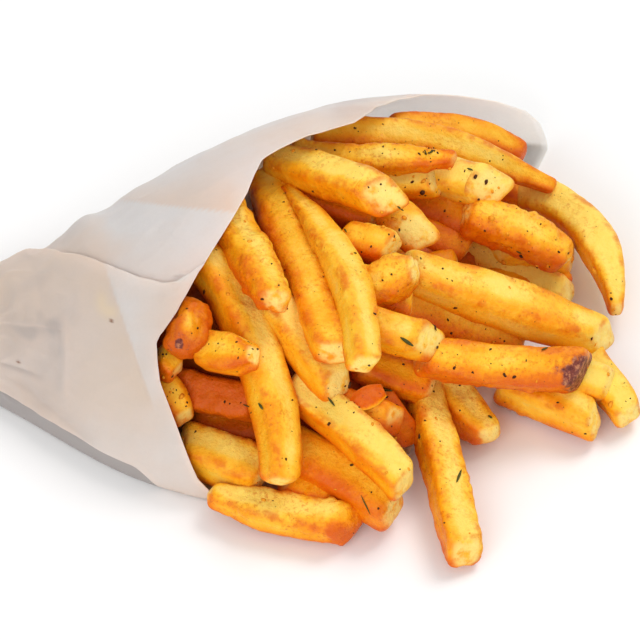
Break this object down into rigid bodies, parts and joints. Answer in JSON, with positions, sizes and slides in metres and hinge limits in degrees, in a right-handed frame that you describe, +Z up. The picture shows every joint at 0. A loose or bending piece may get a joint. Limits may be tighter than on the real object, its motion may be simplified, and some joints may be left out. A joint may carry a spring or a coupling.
{
  "type": "paper cone of french fries",
  "caption": "Rolled paper cone lying on its side, filled with thick-cut french fries that spill out of its open mouth.",
  "frame": {"origin": "centre of the overall bounding box in plan, on the surface that the cone lies on", "axes": "+X from the cone's tip to its open mouth, +Y away from the front as it is seen, +Z up"},
  "size_m": [0.2049, 0.1507, 0.0546],
  "materials": {
    "fries": "golden fried potato, slightly oily, with browned ends and dark specks",
    "paper_cone": "thin greaseproof paper, off-white, creased, matte"
  },
  "bodies": {
    "root": {"fries": "fries", "paper_cone": "paper_cone"}
  },
  "joints": []
}
